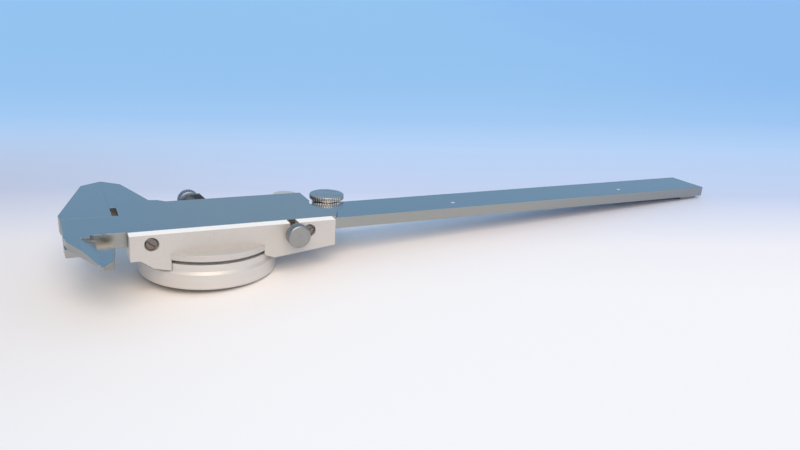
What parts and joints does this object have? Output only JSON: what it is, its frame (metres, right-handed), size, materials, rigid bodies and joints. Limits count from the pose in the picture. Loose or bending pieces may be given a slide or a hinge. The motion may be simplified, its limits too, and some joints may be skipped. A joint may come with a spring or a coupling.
{
  "type": "dial caliper",
  "caption": "Dial caliper lying on its dial: beam with rack, sliding jaw with thumb roller, locking screw, geared pointer and turning bezel.",
  "frame": {"origin": "on the flush back of the slider, at the plane where the closed jaws meet and on the beam's centreline", "axes": "+X along the beam away from the jaws, +Y towards the tips of the outside jaws, +Z out of the back, so the dial faces -Z"},
  "size_m": [0.2366, 0.0738, 0.0172],
  "materials": {
    "beam_steel": "satin ground stainless steel",
    "jaw_steel": "satin ground stainless steel",
    "rack_steel": "milled steel",
    "stop_steel": "satin steel",
    "screw_steel": "turned steel",
    "housing_aluminium": "satin anodised",
    "bezel_aluminium": "satin turned and anodised",
    "gib_brass": "drawn strip",
    "dark_screw": "browned steel",
    "lock_steel": "turned, diamond knurl",
    "brass": "turned and lapped",
    "gear_brass": "cut teeth",
    "arbor_steel": "polished pivots",
    "spring_steel": "blued strip",
    "spring_ring": "spring wire",
    "dial_enamel": "matt white with printed black marks",
    "crystal": "clear",
    "pointer_paint": "red lacquer",
    "clamp_black": "black lacquer",
    "knob_black": "black, knurled rim",
    "roller_steel": "turned, straight knurl",
    "axle_steel": "turned"
  },
  "bodies": {
    "beam": {"beam": "beam_steel", "rack": "rack_steel", "rack_pins": "rack_steel", "end_stop": "stop_steel", "end_stop_screws": "screw_steel"},
    "slider": {"sliding_jaw": "jaw_steel", "housing": "housing_aluminium", "housing_screws": "screw_steel", "gib": "gib_brass", "gib_screws": "dark_screw", "bridge_plate": "brass", "bridge_posts": "brass", "bridge_screws": "screw_steel", "arbor_bushes": "brass", "spring_stud": "arbor_steel", "bezel_snap_ring": "spring_ring", "clamp_plate": "clamp_black", "roller_axle": "axle_steel", "axle_clip": "axle_steel"},
    "pinion_arbor": {"rack_pinion": "arbor_steel", "drive_gear": "gear_brass"},
    "pointer_hand": {"pointer_arbor": "arbor_steel", "pointer": "pointer_paint"},
    "backlash_wheel": {"backlash_gear": "gear_brass", "hairspring": "spring_steel"},
    "bezel_ring": {"bezel": "bezel_aluminium", "crystal": "crystal", "dial_plate": "dial_enamel"},
    "roller": {"thumb_roller": "roller_steel"},
    "lock": {"lock_screw": "lock_steel"},
    "bezel_clamp": {"clamp_screw": "knob_black"}
  },
  "joints": [
    {"name": "slider_travel", "type": "slide", "parent": "beam", "child": "slider", "axis": [1, 0, 0], "range_m": [0, 0.15]},
    {"name": "rack_pinion_turn", "type": "hinge", "parent": "slider", "child": "pinion_arbor", "pos_m": [0.03448, 0.00119, -0.006], "axis": [0, 0, 1], "continuous": true},
    {"name": "pointer_turn", "type": "hinge", "parent": "slider", "child": "pointer_hand", "pos_m": [0.02606, 0.00234, -0.008], "axis": [0, 0, 1], "continuous": true},
    {"name": "backlash_gear_turn", "type": "hinge", "parent": "slider", "child": "backlash_wheel", "pos_m": [0.01756, 0.00234, -0.007], "axis": [0, 0, 1], "continuous": true},
    {"name": "bezel_turn", "type": "hinge", "parent": "slider", "child": "bezel_ring", "pos_m": [0.02606, 0.00234, -0.012], "axis": [0, 0, 1], "continuous": true},
    {"name": "thumb_roller_turn", "type": "hinge", "parent": "slider", "child": "roller", "pos_m": [0.06785, 0.01298, -0.002], "axis": [0, 0, 1], "continuous": true},
    {"name": "lock_screw_turn", "type": "hinge", "parent": "slider", "child": "lock", "pos_m": [0.0483, -0.014, -0.00275], "axis": [0, 1, 0], "range_deg": [-360, 45]},
    {"name": "clamp_screw_turn", "type": "hinge", "parent": "slider", "child": "bezel_clamp", "pos_m": [0.0248, 0.025, -0.00225], "axis": [0, -1, 0], "range_deg": [-360, 45]}
  ],
  "couplings": [
    {"joint": "rack_pinion_turn", "follows": "slider_travel", "rad_per_m": -523.6},
    {"joint": "pointer_turn", "follows": "slider_travel", "rad_per_m": 1256.6},
    {"joint": "backlash_gear_turn", "follows": "slider_travel", "rad_per_m": -523.6},
    {"joint": "thumb_roller_turn", "follows": "slider_travel", "rad_per_m": -200.8}
  ]
}
